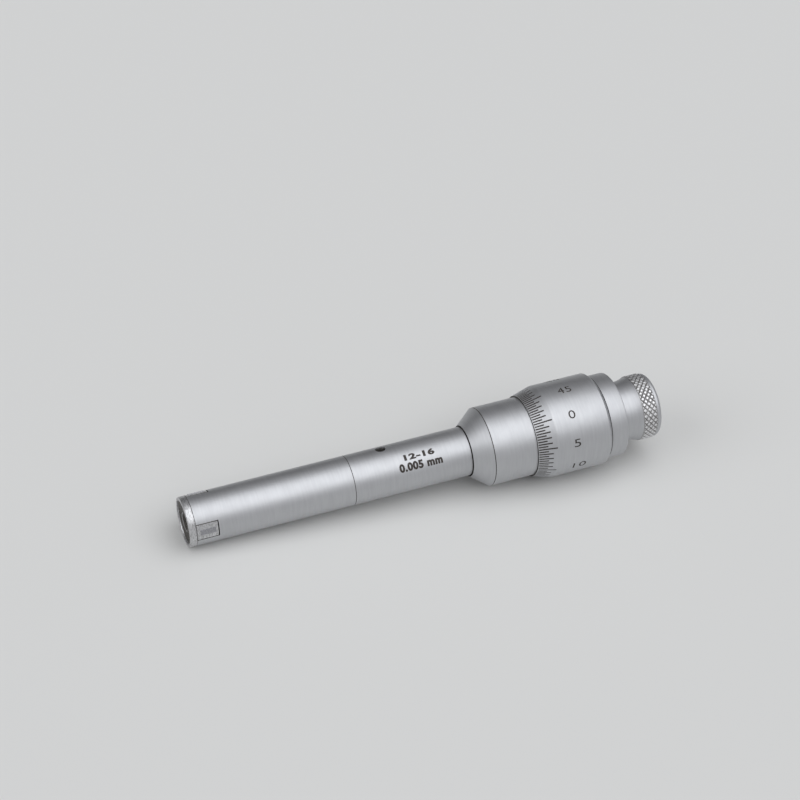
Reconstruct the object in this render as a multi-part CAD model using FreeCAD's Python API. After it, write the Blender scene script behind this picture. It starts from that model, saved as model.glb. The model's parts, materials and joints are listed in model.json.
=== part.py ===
"""Three-point inside micrometer for bores of 12 to 16 mm, lying as it comes to rest.

Every piece is drawn about the instrument's own axis, X, which starts at the front
face of the head and runs towards the ratchet knob. Angles go round that axis from
the top. The last step lays the pieces on the surface, where the front edge of the
head and the front corner of the thimble touch it.
"""

import FreeCAD, Part

import math
import os

# Measuring action
thread_pitch = 0.5
turns = 8.5
cone_slope = 0.5

# Running and seating clearances, on the radius or on each face
run_gap = 0.03
seat_gap = 0.02
end_gap = 0.05

# How far a cutting shape runs past the face that it opens
overshoot = 1.0

# End cap and its screws
cap_length = 1.64
cap_rim_chamfer = 0.4
cap_dish_depth = 0.35
cap_dish_wall = 0.75
cap_hole_radius = 1.6
cap_hole_chamfer = 0.5
cap_screw_inset = 1.55
cap_screw_head_radius = 0.75
cap_screw_head_height = 0.45
cap_screw_radius = 0.5
cap_screw_length = 3.2
cap_screw_slot_width = 0.25
cap_screw_slot_depth = 0.2
seam_chamfer = 0.06

# Head
head_radius = 5.8
head_length = 37.43
window_length = 5.16
window_count = 3
window_first_angle = 76.5
front_bore_radius = 3.1
front_bore_length = 3.4
spigot_length = 11.0

# Anvils, with a foot that keeps each one in its window
anvil_width = 4.1
anvil_face_depth = 0.02
anvil_edge_chamfer = 0.1
anvil_rear_gap = 0.25
anvil_flank_gap = 0.03
foot_length = 1.65
foot_height = 2.85
foot_stop_gap = 0.07
wedge_clearance = 0.06
tip_width = 1.3
tip_length = 3.6
tip_setback = 0.75
tip_depth = 0.9
tip_proud = 0.075

# Anvil leaf springs
leaf_thickness = 0.15
leaf_width = 1.2
leaf_side_gap = 0.1
leaf_groove_roof = 0.6
leaf_groove_length = 11.7
leaf_seat_length = 4.2
leaf_bend_length = 3.4
leaf_guide_gap = 0.38
leaf_reach = 0.5

# Measuring cone, its key and the push rod
cone_tip_radius = 0.5
cone_tip_setback = 0.35
guide_radius = 3.6
guide_length = 19.2
key_radius = 0.6
key_angle = 150.0
key_depth = 2.75
key_sink = 0.2
key_slot_front_gap = 0.9
key_slot_floor = 2.6
rod_radius = 2.2
rod_stud_radius = 1.2
rod_stud_length = 4.0
bush_length = 6.0
bush_flange_length = 0.6
bush_flange_play = 0.1
push_spring_length = 9.3
push_spring_wire = 0.25
push_spring_turns = 7
collar_rise = 1.4
collar_length = 1.2
ball_radius = 1.5
ball_seat_gap = 0.02

# Stem and the screw that holds the head in it
stem_length = 28.72
stem_socket_wall = 0.88
stem_tail_length = 11.1
stem_tail_drop = 0.2
stem_tail_wall = 1.0
head_screw_radius = 1.2
head_screw_place = 8.55
head_screw_angle = -20.0
head_screw_bite = 0.7
head_screw_sink = 0.35
screw_slot_width = 0.35
screw_slot_depth = 0.4

# Nose cone, graduated sleeve and spindle nut
nose_length = 4.2
nose_front_wall = 0.5
nose_mouth_chamfer = 0.38
nut_neck_wall = 1.38
nut_neck_length = 1.3
nut_shoulder = 1.0
sleeve_lip = 0.3
sleeve_wall = 1.34
sleeve_showing = 10.54
nut_thread_length = 10.4
nut_tail_drop = 2.0
nut_tail_length = 6.4
nut_slot_width = 0.5
nut_slot_length = 5.4
nut_slot_count = 3
stem_stop_gap = 0.1
adjusting_nut_length = 3.4
adjusting_nut_setback = 0.5
adjusting_nut_play = 0.1
adjusting_notch_width = 1.6
adjusting_notch_depth = 0.7
adjusting_notch_count = 4
sleeve_screw_radius = 0.8
sleeve_screw_place = 2.6
sleeve_screw_angle = 300.0
sleeve_screw_bite = 0.45
sleeve_screw_sink = 0.2

# Spindle and thimble
spindle_nose_radius = 3.0
spindle_nose_setback = 1.0
thread_radius = 3.5
thread_spare = 1.75
ball_standoff = 0.8
taper_front_radius = 5.2
taper_rear_radius = 4.6
stub_radius = 4.0
stub_hole_length = 5.8
thimble_play = 0.06
thimble_lip = 0.27
thimble_bevel_rise = 1.32
thimble_bevel_length = 4.64
thimble_length = 18.62
thimble_wall = 4.0
thimble_stop_gap = 0.5
thimble_rear_chamfer = 0.83
thimble_rear_drop = 0.96
pip_radius = 0.22
pip_angle = 17.0
pip_depth = 0.4
ring_drop = 0.99
ring_length = 4.23
ring_ease = 0.25

# Ratchet
ratchet_teeth = 12
tooth_height = 0.4
tooth_gap = 0.05
tooth_side_gap = 0.5
tooth_inner_radius = 3.4
wheel_radius = 5.6
wheel_length = 1.6
clutch_length = 1.8
clutch_lug_height = 0.6
clutch_lug_width = 1.5
clutch_lug_count = 3
clutch_play = 0.2
clutch_lift = 0.45
ratchet_spring_length = 3.2
ratchet_spring_wire = 0.3
ratchet_spring_turns = 3.5
shoulder_radius = 2.0
ratchet_thread_radius = 1.5
ratchet_head_radius = 3.0
ratchet_head_length = 1.2
ratchet_slot_width = 0.8
ratchet_slot_depth = 0.6
knob_front_gap = 0.07
knob_wall_length = 1.4
knob_skirt_wall = 0.85
knob_neck_length = 2.15
knob_flare_length = 2.85
knob_flare_rise = 0.77
knob_band_length = 3.83
knob_rim_round = 1.12
knob_ease = 0.2

# Places along the axis, worked out from the sizes above
travel = thread_pitch * turns
anvil_travel = cone_slope * travel
cap_rear = cap_length
window_rear = cap_rear + window_length
head_rear = cap_rear + head_length
spigot_rear = head_rear + spigot_length
stem_shown_rear = head_rear + stem_length
stem_rear = stem_shown_rear + stem_tail_length
nose_rear = stem_shown_rear + nose_length
thimble_front = nose_rear + sleeve_showing
thimble_rear = thimble_front + thimble_length
thimble_wall_front = thimble_rear - thimble_wall
nut_rear = thimble_wall_front - travel - thimble_stop_gap
nut_thread_front = nut_rear - nut_thread_length
ring_rear = thimble_rear + ring_length
cone_tip = cone_tip_setback + travel
cone_base = cone_tip + (guide_radius - cone_tip_radius) / cone_slope
guide_rear = cone_base + guide_length
spindle_front = stem_shown_rear + spindle_nose_setback
wheel_front = ring_rear + seat_gap
wheel_rear = wheel_front + wheel_length
clutch_front = wheel_rear + tooth_height + tooth_gap
clutch_rear = clutch_front + clutch_length
knob_front = ring_rear + knob_front_gap
knob_cavity_rear = clutch_rear + ratchet_spring_length
knob_recess_floor = knob_cavity_rear + knob_wall_length
flare_front = knob_front + knob_neck_length
band_front = flare_front + knob_flare_length
band_rear = band_front + knob_band_length
knob_rear = band_rear + knob_rim_round

# Radii that follow from their neighbours
tip_radius = head_radius + tip_proud
cap_screw_circle = head_radius - cap_screw_inset
leaf_groove_radius = head_radius - leaf_groove_roof
stem_radius = head_radius
spigot_radius = stem_radius - stem_socket_wall - seat_gap
stem_tail_radius = stem_radius - stem_tail_drop
stem_bore_radius = stem_tail_radius - stem_tail_wall
bush_flange_radius = stem_bore_radius - bush_flange_play
collar_radius = rod_radius + collar_rise
nose_bore_radius = stem_tail_radius + seat_gap
nut_bore_radius = stem_tail_radius + seat_gap
nut_neck_radius = nut_bore_radius + nut_neck_wall
nut_radius = nut_neck_radius + nut_shoulder
nut_tail_radius = nut_radius - nut_tail_drop
sleeve_radius = nut_radius + seat_gap + sleeve_wall
thimble_bore_radius = sleeve_radius + thimble_play
thimble_front_radius = thimble_bore_radius + thimble_lip
thimble_radius = thimble_front_radius + thimble_bevel_rise
ring_radius = thimble_radius - ring_drop
clutch_radius = wheel_radius + end_gap
clutch_lug_radius = clutch_radius + clutch_lug_height
knob_cavity_radius = clutch_radius + clutch_play
knob_neck_radius = knob_cavity_radius + clutch_lug_height + knob_skirt_wall - clutch_play
knob_band_radius = knob_neck_radius + knob_flare_rise

ORIGIN = FreeCAD.Vector(0, 0, 0)
AXIS = FreeCAD.Vector(1, 0, 0)
UP = FreeCAD.Vector(0, 0, 1)
SIDE = FreeCAD.Vector(0, 1, 0)


def turned(outline):
    """A solid turned about X from (place, radius) points, the last joined to the first.

    A point of four numbers ends an arc that passes through its first two.
    """
    corners = [FreeCAD.Vector(point[-2], 0, point[-1]) for point in outline]
    edges = []
    for index, point in enumerate(outline):
        start = corners[index - 1]
        end = corners[index]
        if len(point) == 4:
            middle = FreeCAD.Vector(point[0], 0, point[1])
            edges.append(Part.Arc(start, middle, end).toShape())
        else:
            edges.append(Part.LineSegment(start, end).toShape())
    return Part.Face(Part.Wire(edges)).revolve(ORIGIN, AXIS, 360)


def disc(front, rear, radius):
    return Part.makeCylinder(radius, rear - front, FreeCAD.Vector(front, 0, 0), AXIS)


def ring(front, rear, inner, outer):
    return turned([(front, inner), (rear, inner), (rear, outer), (front, outer)])


def block(front, rear, width, low, high):
    """A box on the top side of the axis, from one radius to another."""
    corner = FreeCAD.Vector(front, -width / 2, low)
    return Part.makeBox(rear - front, width, high - low, corner)


def pin(place, radius, low, high):
    """A round pin that points straight up from the axis."""
    return Part.makeCylinder(radius, high - low, FreeCAD.Vector(place, 0, low), UP)


def at_angle(shape, angle):
    """A copy of a top-side shape, turned round the axis."""
    copy = shape.copy()
    copy.rotate(ORIGIN, AXIS, angle)
    return copy


def around(shape, count, first=0.0):
    return [at_angle(shape, first + 360.0 * index / count) for index in range(count)]


def window_angles():
    return [window_first_angle + 360.0 * index / window_count for index in range(window_count)]


def pillar_angle():
    """The middle of the metal between two windows, measured from the first window."""
    return window_first_angle + 180.0 / window_count


def extruded(points, width):
    """A (place, height) outline given a width across the axis."""
    corners = [FreeCAD.Vector(place, -width / 2, height) for place, height in points]
    return Part.Face(Part.makePolygon(corners + corners[:1])).extrude(SIDE * width)


def slotted_screw(place, radius, low, high):
    """A grub screw with a screwdriver slot along the axis in its outer end."""
    floor = high - screw_slot_depth
    slot = block(place - 2 * radius, place + 2 * radius, screw_slot_width, floor, high + overshoot)
    return pin(place, radius, low, high).cut(slot)


def coil_spring(front, rear, coil_radius, wire_radius, coils):
    """A round-wire spring about the axis, between two flat seats."""
    height = rear - front - 2 * wire_radius
    helix = Part.makeHelix(height / coils, height, coil_radius)
    start = FreeCAD.Vector(coil_radius, 0, 0)
    section = Part.Wire(Part.makeCircle(wire_radius, start, SIDE))
    spring = Part.Wire(helix.Edges).makePipeShell([section], True, True)
    spring.rotate(ORIGIN, SIDE, 90)
    spring.translate(AXIS * (front + wire_radius))
    return spring


def end_cap():
    dish_radius = head_radius - cap_dish_wall
    body = turned([
        (cap_rear, head_radius - seam_chamfer),
        (cap_rear - seam_chamfer, head_radius),
        (cap_rim_chamfer, head_radius),
        (0, head_radius - cap_rim_chamfer),
        (0, dish_radius),
        (cap_dish_depth, dish_radius),
        (cap_dish_depth, cap_hole_radius + cap_hole_chamfer),
        (cap_dish_depth + cap_hole_chamfer, cap_hole_radius),
        (cap_rear, cap_hole_radius),
    ])
    for screw in around(cap_screw(seat_gap), window_count, pillar_angle()):
        body = body.cut(screw)
    return body


def cap_screw(growth=0.0):
    """One end cap screw, or the room for it if growth is its clearance."""
    head_rear_place = cap_dish_depth + cap_screw_head_height
    centre = FreeCAD.Vector(cap_dish_depth - growth, 0, cap_screw_circle)
    head_length_grown = cap_screw_head_height + growth
    head = Part.makeCylinder(cap_screw_head_radius + growth, head_length_grown, centre, AXIS)
    shank_start = FreeCAD.Vector(head_rear_place - seam_chamfer, 0, cap_screw_circle)
    shank = Part.makeCylinder(cap_screw_radius + growth, cap_screw_length + growth, shank_start, AXIS)
    return head.fuse(shank)


def end_cap_screws():
    screw = cap_screw()
    slot_floor = cap_dish_depth + cap_screw_slot_depth
    low = cap_screw_circle - 2 * cap_screw_head_radius
    high = cap_screw_circle + 2 * cap_screw_head_radius
    screw = screw.cut(block(0, slot_floor, cap_screw_slot_width, low, high))
    return Part.makeCompound(around(screw, window_count, pillar_angle()))


def head_body():
    bore = guide_radius + run_gap
    body = turned([
        (cap_rear, front_bore_radius),
        (cap_rear, head_radius - seam_chamfer),
        (cap_rear + seam_chamfer, head_radius),
        (head_rear - seam_chamfer, head_radius),
        (head_rear, head_radius - seam_chamfer),
        (head_rear, spigot_radius),
        (spigot_rear, spigot_radius),
        (spigot_rear, bore),
        (cap_rear + front_bore_length, bore),
        (cap_rear + front_bore_length, front_bore_radius),
    ])
    slot_width = anvil_width + 2 * run_gap
    pocket_rear = window_rear - anvil_rear_gap + foot_length + end_gap
    groove_rear = window_rear + leaf_groove_length
    groove_width = leaf_width + 2 * leaf_side_gap
    room = block(0, window_rear, slot_width, 0, 2 * head_radius)
    room = room.fuse(block(0, pocket_rear, slot_width, 0, foot_stop_height()))
    room = room.fuse(block(0, groove_rear, groove_width, 0, leaf_groove_radius))
    for angle in window_angles():
        body = body.cut(at_angle(room, angle))
    for screw in around(cap_screw(seat_gap), window_count, pillar_angle()):
        body = body.cut(screw)
    body = body.cut(at_angle(pin(key_place(), key_radius + seat_gap, 0, 2 * head_radius), key_angle))
    seat_floor = spigot_radius - head_screw_bite - seat_gap
    seat = pin(head_screw_centre(), head_screw_radius + seat_gap, seat_floor, 2 * head_radius)
    return body.cut(at_angle(seat, head_screw_angle))


def foot_stop_height():
    """The radius of the roof over an anvil's foot, which stops it at the end of its travel."""
    return foot_height + anvil_travel + foot_stop_gap


def flank_height(place):
    """The radius at which an anvil's sloping inner face lies, at rest."""
    return cone_tip_radius + anvil_flank_gap + cone_slope * (place - cone_tip)


def anvil():
    """The anvil of a window at the top: block, wedge-shaped inner end and foot."""
    front = cap_rear + end_gap
    main_rear = window_rear - anvil_rear_gap
    foot_rear = main_rear + foot_length
    inner_end = cone_tip_radius + anvil_flank_gap
    side = extruded([
        (front, inner_end),
        (cone_tip, inner_end),
        (foot_rear, flank_height(foot_rear)),
        (foot_rear, foot_height),
        (main_rear, foot_height),
        (main_rear, head_radius + overshoot),
        (front, head_radius + overshoot),
    ], anvil_width)
    half = anvil_width / 2
    wedge_rise = half / math.tan(math.pi / window_count)
    edge = math.sqrt((head_radius - anvil_face_depth) ** 2 - half ** 2)
    bevel = 2 * anvil_edge_chamfer
    right = [
        (half, wedge_clearance + wedge_rise),
        (half, edge - anvil_edge_chamfer),
        (half - bevel, edge + anvil_edge_chamfer),
        (half - bevel, head_radius + overshoot),
    ]
    left = [(-across, height) for across, height in reversed(right)]
    corners = [FreeCAD.Vector(0, across, height) for across, height in [(0, wedge_clearance)] + right + left]
    wedge = Part.Face(Part.makePolygon(corners + corners[:1])).extrude(AXIS * (foot_rear + overshoot))
    body = side.common(wedge).common(disc(0, foot_rear + overshoot, head_radius - anvil_face_depth))
    return body.cut(tip_block(head_radius + overshoot))


def tip_block(top):
    front = cap_rear + end_gap + tip_setback
    return block(front, front + tip_length, tip_width, head_radius - tip_depth, top)


def contact_tip():
    """The hard contact bar let into an anvil, ground round to the reading at rest."""
    return tip_block(head_radius + overshoot).common(disc(0, window_rear, tip_radius))


def anvil_spring():
    """The leaf that lies in the head's groove and presses an anvil's foot inwards."""
    fixed_rear = window_rear + leaf_groove_length - end_gap
    fixed_front = fixed_rear - leaf_seat_length
    bend = fixed_front - leaf_bend_length
    free_end = window_rear - anvil_rear_gap + leaf_reach
    seat = leaf_groove_radius - leaf_thickness - seat_gap
    bent = guide_radius + leaf_guide_gap
    free = foot_height + seat_gap
    under = [(fixed_rear, seat), (fixed_front, seat), (bend, bent), (free_end, free)]
    over = [(place, height + leaf_thickness) for place, height in reversed(under)]
    return extruded(under + over, leaf_width)


def key_place():
    """Where the key stands along the axis, a little way along the slot in the cone's guide."""
    return guide_rear - travel - 2 * key_radius - key_slot_front_gap


def measuring_cone():
    body = turned([
        (cone_tip, 0),
        (cone_tip, cone_tip_radius),
        (cone_base, guide_radius),
        (guide_rear, guide_radius),
        (guide_rear, 0),
    ])
    slot_front = key_place() - key_radius - key_slot_front_gap
    slot_width = 2 * (key_radius + end_gap)
    slot = block(slot_front, guide_rear + overshoot, slot_width, key_slot_floor, guide_radius + overshoot)
    body = body.cut(at_angle(slot, key_angle))
    hole_floor = guide_rear - rod_stud_length - seat_gap
    return body.cut(disc(hole_floor, guide_rear + overshoot, rod_stud_radius + seat_gap))


def key_pin():
    return at_angle(pin(key_place(), key_radius, key_depth, head_radius - key_sink), key_angle)


def rod_bush():
    front = spigot_rear - bush_length
    return turned([
        (front, rod_radius + run_gap),
        (spigot_rear + bush_flange_length, rod_radius + run_gap),
        (spigot_rear + bush_flange_length, bush_flange_radius),
        (spigot_rear, bush_flange_radius),
        (spigot_rear, guide_radius),
        (front, guide_radius),
    ])


def collar_front():
    return spigot_rear + bush_flange_length + push_spring_length


def push_rod():
    rear = ball_centre() - ball_standoff
    body = turned([
        (guide_rear - rod_stud_length, 0),
        (guide_rear - rod_stud_length, rod_stud_radius),
        (guide_rear, rod_stud_radius),
        (guide_rear, rod_radius),
        (collar_front(), rod_radius),
        (collar_front(), collar_radius),
        (collar_front() + collar_length, collar_radius),
        (collar_front() + collar_length, rod_radius),
        (rear, rod_radius),
        (rear, 0),
    ])
    return body.cut(ball_room())


def ball_centre():
    return spindle_front - ball_standoff


def thrust_ball():
    return Part.makeSphere(ball_radius, FreeCAD.Vector(ball_centre(), 0, 0))


def ball_room():
    return Part.makeSphere(ball_radius + ball_seat_gap, FreeCAD.Vector(ball_centre(), 0, 0))


def push_rod_spring():
    front = spigot_rear + bush_flange_length + seat_gap
    coil_radius = (rod_radius + stem_bore_radius) / 2
    return coil_spring(front, collar_front() - seat_gap, coil_radius, push_spring_wire, push_spring_turns)


def head_screw_centre():
    return head_rear + head_screw_place


def stem_tube():
    shoulder = spigot_rear + seat_gap
    body = turned([
        (head_rear, spigot_radius + seat_gap),
        (head_rear, stem_radius - seam_chamfer),
        (head_rear + seam_chamfer, stem_radius),
        (stem_shown_rear, stem_radius),
        (stem_shown_rear, stem_tail_radius),
        (stem_rear, stem_tail_radius),
        (stem_rear, stem_bore_radius),
        (shoulder, stem_bore_radius),
        (shoulder, spigot_radius + seat_gap),
    ])
    hole = pin(head_screw_centre(), head_screw_radius + seat_gap, 0, 2 * stem_radius)
    return body.cut(at_angle(hole, head_screw_angle))


def head_lock_screw():
    low = spigot_radius - head_screw_bite
    screw = slotted_screw(head_screw_centre(), head_screw_radius, low, stem_radius - head_screw_sink)
    return at_angle(screw, head_screw_angle)


def nose_cone():
    front_radius = nose_bore_radius + nose_front_wall
    neck_front = nose_rear - nut_neck_length - seat_gap
    return turned([
        (stem_shown_rear + nose_mouth_chamfer, nose_bore_radius),
        (stem_shown_rear, nose_bore_radius + nose_mouth_chamfer),
        (stem_shown_rear, front_radius),
        (nose_rear - seam_chamfer, sleeve_radius),
        (nose_rear, sleeve_radius - seam_chamfer),
        (nose_rear, nut_neck_radius + seat_gap),
        (neck_front, nut_neck_radius + seat_gap),
        (neck_front, nose_bore_radius),
    ])


def sleeve_screw_centre():
    return nose_rear + sleeve_screw_place


def graduated_sleeve():
    body = turned([
        (nose_rear, nut_neck_radius + seat_gap),
        (nose_rear, sleeve_radius - seam_chamfer),
        (nose_rear + seam_chamfer, sleeve_radius),
        (nut_rear, sleeve_radius),
        (nut_rear, nut_radius + seat_gap),
        (nose_rear + sleeve_lip, nut_radius + seat_gap),
        (nose_rear + sleeve_lip, nut_neck_radius + seat_gap),
    ])
    hole = pin(sleeve_screw_centre(), sleeve_screw_radius + seat_gap, 0, 2 * sleeve_radius)
    return body.cut(at_angle(hole, sleeve_screw_angle))


def sleeve_screw():
    low = nut_radius - sleeve_screw_bite
    high = sleeve_radius - sleeve_screw_sink
    screw = slotted_screw(sleeve_screw_centre(), sleeve_screw_radius, low, high)
    return at_angle(screw, sleeve_screw_angle)


def spindle_nut():
    """The inner sleeve: it holds the stem in front and carries the measuring thread behind."""
    neck_front = nose_rear - nut_neck_length
    stem_stop = stem_rear + stem_stop_gap
    thread_bore = thread_radius + run_gap
    body = turned([
        (neck_front, nut_bore_radius),
        (neck_front, nut_neck_radius),
        (nose_rear + sleeve_lip + seat_gap, nut_neck_radius),
        (nose_rear + sleeve_lip + seat_gap, nut_radius),
        (nut_rear - nut_tail_length, nut_radius),
        (nut_rear - nut_tail_length, nut_tail_radius),
        (nut_rear, nut_tail_radius),
        (nut_rear, thread_bore),
        (nut_thread_front, thread_bore),
        (nut_thread_front, stem_bore_radius),
        (stem_stop, stem_bore_radius),
        (stem_stop, nut_bore_radius),
    ])
    slot_front = nut_rear - nut_slot_length
    slot = block(slot_front, nut_rear + overshoot, nut_slot_width, 0, nut_tail_radius + overshoot)
    for cut in around(slot, nut_slot_count):
        body = body.cut(cut)
    low = nut_radius - sleeve_screw_bite - seat_gap
    seat = pin(sleeve_screw_centre(), sleeve_screw_radius + seat_gap, low, 2 * nut_radius)
    return body.cut(at_angle(seat, sleeve_screw_angle))


def adjusting_nut():
    rear = nut_rear - adjusting_nut_setback
    outer = nut_radius - adjusting_nut_play
    body = ring(rear - adjusting_nut_length, rear, nut_tail_radius + seat_gap, outer)
    floor = rear - adjusting_notch_depth
    inner = nut_tail_radius - overshoot
    notch = block(floor, rear + overshoot, adjusting_notch_width, inner, outer + overshoot)
    for cut in around(notch, adjusting_notch_count):
        body = body.cut(cut)
    return body


def spindle():
    thread_front = nut_thread_front - travel - thread_spare
    step = nut_rear + travel + thimble_stop_gap - end_gap
    body = turned([
        (spindle_front, 0),
        (spindle_front, spindle_nose_radius),
        (thread_front, spindle_nose_radius),
        (thread_front, thread_radius),
        (step, thread_radius),
        (step, taper_front_radius),
        (thimble_rear, taper_rear_radius),
        (thimble_rear, stub_radius),
        (ring_rear, stub_radius),
        (ring_rear, 0),
    ])
    hole_floor = ring_rear - stub_hole_length
    body = body.cut(disc(hole_floor, ring_rear + overshoot, ratchet_thread_radius + seat_gap))
    return body.cut(ball_room())


def thimble():
    bevel_rear = thimble_front + thimble_bevel_length
    step = nut_rear + travel + thimble_stop_gap - end_gap
    taper_fall = (taper_front_radius - taper_rear_radius) / (thimble_rear - step)
    bore_front = taper_front_radius - taper_fall * (thimble_wall_front - step)
    body = turned([
        (thimble_front, thimble_bore_radius),
        (thimble_front, thimble_front_radius),
        (bevel_rear, thimble_radius),
        (thimble_rear - thimble_rear_chamfer, thimble_radius),
        (thimble_rear - seam_chamfer, thimble_radius - thimble_rear_drop),
        (thimble_rear, thimble_radius - thimble_rear_drop - seam_chamfer),
        (thimble_rear, taper_rear_radius + seat_gap),
        (thimble_wall_front, bore_front + seat_gap),
        (thimble_wall_front, thimble_bore_radius),
    ])
    top = thimble_radius - thimble_rear_drop
    mark = pin(thimble_rear - pip_radius, pip_radius, top - pip_depth, top + overshoot)
    return body.cut(at_angle(mark, pip_angle))


def lock_ring():
    return turned([
        (thimble_rear, stub_radius + seat_gap),
        (thimble_rear, ring_radius - seam_chamfer),
        (thimble_rear + seam_chamfer, ring_radius),
        (ring_rear - ring_ease, ring_radius),
        (ring_rear, ring_radius - ring_ease),
        (ring_rear, stub_radius + seat_gap),
    ])


def crown_tooth(corners, inner, outer):
    """A tooth between two radii whose (place, angle) corners are the same at both."""
    wires = []
    for radius in (inner, outer):
        points = []
        for place, angle in corners:
            turn = math.radians(angle)
            points.append(FreeCAD.Vector(place, -radius * math.sin(turn), radius * math.cos(turn)))
        wires.append(Part.makePolygon(points + points[:1]))
    return Part.makeLoft(wires, True, True)


def ratchet_wheel():
    """The toothed disc that is held to the spindle. Its teeth let the knob slip one way."""
    pitch = 360.0 / ratchet_teeth
    tooth = crown_tooth(
        [(wheel_rear, 0), (wheel_rear, pitch), (wheel_rear + tooth_height, 0)],
        tooth_inner_radius, wheel_radius - end_gap)
    body = ring(wheel_front, wheel_rear, ratchet_thread_radius + seat_gap, wheel_radius)
    return body.fuse(around(tooth, ratchet_teeth)).removeSplitter()


def ratchet_clutch():
    """The toothed disc that turns with the knob and is pressed on the wheel."""
    pitch = 360.0 / ratchet_teeth - tooth_side_gap
    tooth = crown_tooth(
        [(clutch_front, 0), (clutch_front, pitch), (clutch_front - tooth_height, pitch)],
        tooth_inner_radius + end_gap, wheel_radius - end_gap)
    body = ring(clutch_front, clutch_rear, shoulder_radius + clutch_play, clutch_radius)
    lug = block(clutch_front, clutch_rear, clutch_lug_width, clutch_radius - overshoot, clutch_lug_radius)
    body = body.fuse(around(lug, clutch_lug_count))
    return body.fuse(around(tooth, ratchet_teeth)).removeSplitter()


def ratchet_spring():
    coil_radius = (shoulder_radius + knob_cavity_radius) / 2
    front = clutch_rear + seat_gap
    rear = knob_cavity_rear - seat_gap
    return coil_spring(front, rear, coil_radius, ratchet_spring_wire, ratchet_spring_turns)


def ratchet_screw():
    """The shoulder screw that clamps the wheel and lets the knob turn behind it."""
    head_front = knob_recess_floor + end_gap
    head_rear_place = head_front + ratchet_head_length
    body = turned([
        (ring_rear - stub_hole_length + end_gap, 0),
        (ring_rear - stub_hole_length + end_gap, ratchet_thread_radius),
        (wheel_rear, ratchet_thread_radius),
        (wheel_rear, shoulder_radius),
        (head_front, shoulder_radius),
        (head_front, ratchet_head_radius),
        (head_rear_place, ratchet_head_radius),
        (head_rear_place, 0),
    ])
    floor = head_rear_place - ratchet_slot_depth
    reach = 2 * ratchet_head_radius
    return body.cut(block(floor, head_rear_place + overshoot, ratchet_slot_width, -reach, reach))


def ratchet_knob():
    bend = 2 * math.atan2(knob_flare_rise, knob_flare_length)
    flare_radius = knob_flare_length / math.sin(bend)
    flare_middle = flare_front + flare_radius * math.sin(bend / 2)
    flare_height = knob_neck_radius + flare_radius * (1 - math.cos(bend / 2))
    rim_reach = knob_rim_round * math.sqrt(0.5)
    rim_radius = knob_band_radius - knob_rim_round
    recess_radius = ratchet_head_radius + clutch_play
    body = turned([
        (knob_front, knob_cavity_radius),
        (knob_front, knob_neck_radius - knob_ease),
        (knob_front + knob_ease, knob_neck_radius),
        (flare_front, knob_neck_radius),
        (flare_middle, flare_height, band_front, knob_band_radius),
        (band_rear, knob_band_radius),
        (band_rear + rim_reach, rim_radius + rim_reach, knob_rear, rim_radius),
        (knob_rear, recess_radius),
        (knob_recess_floor, recess_radius),
        (knob_recess_floor, shoulder_radius + end_gap),
        (knob_cavity_rear, shoulder_radius + end_gap),
        (knob_cavity_rear, knob_cavity_radius),
    ])
    groove_width = clutch_lug_width + 2 * end_gap
    groove_rear = clutch_rear + clutch_lift + end_gap
    groove_front = knob_front - overshoot
    groove = block(groove_front, groove_rear, groove_width, clutch_radius, clutch_lug_radius + end_gap)
    for cut in around(groove, clutch_lug_count):
        body = body.cut(cut)
    return body


def resting_tilt():
    """How far the axis dips towards the head, in radians, with both contact edges down."""
    bevel_rear = thimble_front + thimble_bevel_length
    return math.atan2(thimble_radius - head_radius, bevel_rear - cap_rim_chamfer)


def laid_down(shape):
    """The shape as it lies on the surface, with the middle of the whole above the origin."""
    tilt = resting_tilt()
    front = -(head_radius - cap_rim_chamfer) * math.sin(tilt)
    rear = knob_rear * math.cos(tilt) + (knob_band_radius - knob_rim_round) * math.sin(tilt)
    height = head_radius * math.cos(tilt) - cap_rim_chamfer * math.sin(tilt)
    shape.rotate(ORIGIN, SIDE, -math.degrees(tilt))
    shape.translate(FreeCAD.Vector(-(front + rear) / 2, 0, height))
    return shape


def main():
    os.makedirs("parts", exist_ok=True)
    nodes = {
        "end_cap": end_cap(),
        "end_cap_screws": end_cap_screws(),
        "head_body": head_body(),
        "measuring_cone": measuring_cone(),
        "key_pin": key_pin(),
        "rod_bush": rod_bush(),
        "push_rod": push_rod(),
        "push_rod_spring": push_rod_spring(),
        "thrust_ball": thrust_ball(),
        "stem_tube": stem_tube(),
        "head_lock_screw": head_lock_screw(),
        "nose_cone": nose_cone(),
        "graduated_sleeve": graduated_sleeve(),
        "sleeve_screw": sleeve_screw(),
        "spindle_nut": spindle_nut(),
        "adjusting_nut": adjusting_nut(),
        "spindle": spindle(),
        "thimble": thimble(),
        "lock_ring": lock_ring(),
        "ratchet_wheel": ratchet_wheel(),
        "ratchet_clutch": ratchet_clutch(),
        "ratchet_spring": ratchet_spring(),
        "ratchet_screw": ratchet_screw(),
        "ratchet_knob": ratchet_knob(),
    }
    for number, angle in enumerate(window_angles(), start=1):
        nodes[f"anvil_{number}"] = at_angle(anvil(), angle)
        nodes[f"contact_tip_{number}"] = at_angle(contact_tip(), angle)
        nodes[f"anvil_spring_{number}"] = at_angle(anvil_spring(), angle)
    for name, shape in nodes.items():
        laid_down(shape).exportStep(f"parts/{name}.step")


main()
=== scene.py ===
# %% [markdown]
# # A three-point inside micrometer
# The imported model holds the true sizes, the places and the motion of every piece. This script
# brings it in, models again the pieces whose surface matters to the eye, gives every piece a
# finish, and sets up a camera and plain soft light.

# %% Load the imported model
import json
import math

import bpy
from mathutils import Euler, Matrix, Vector


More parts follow.
